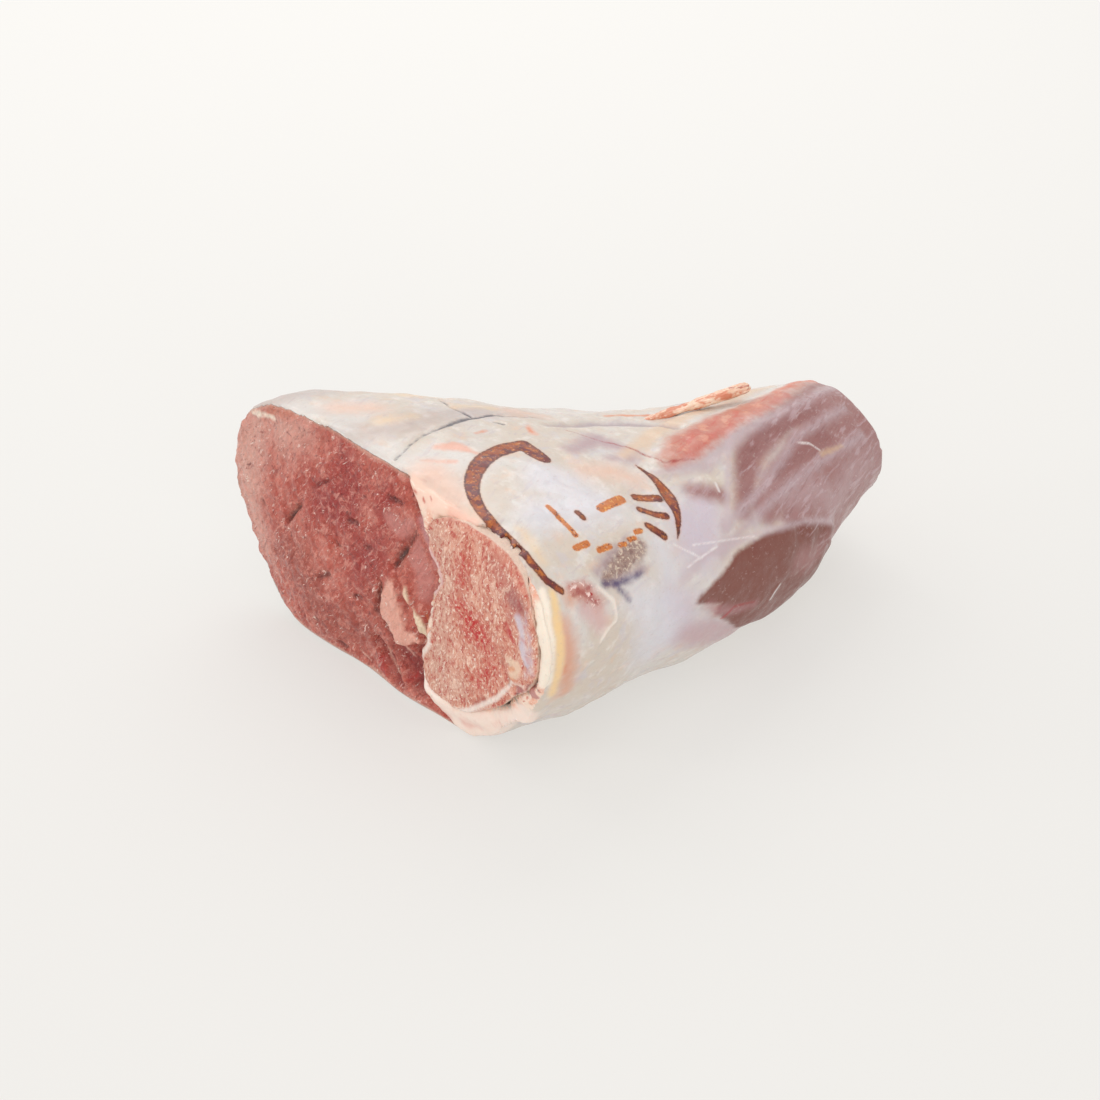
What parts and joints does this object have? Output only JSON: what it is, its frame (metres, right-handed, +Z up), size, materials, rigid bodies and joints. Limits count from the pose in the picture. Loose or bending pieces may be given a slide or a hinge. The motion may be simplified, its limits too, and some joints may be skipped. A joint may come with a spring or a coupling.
{
  "type": "lamb shank",
  "caption": "Raw lamb shank on its side: a tapering lower leg of muscle under fat and silverskin, cut square at the knee and at the hock, with the sawn shank bone inside.",
  "frame": {"origin": "bottom centre of the bounding box, on the surface the shank lies on", "axes": "+X from the knee cut to the hock cut, +Y to the back of the leg where the calf muscle is, +Z up"},
  "size_m": [0.1276, 0.111, 0.0625],
  "materials": {
    "meat": "moist raw meat under cream-white fat and silverskin",
    "bone": "sawn spongy bone, pink-beige with red marrow"
  },
  "bodies": {
    "root": {"meat": "meat", "shank_bone": "bone"}
  },
  "joints": []
}
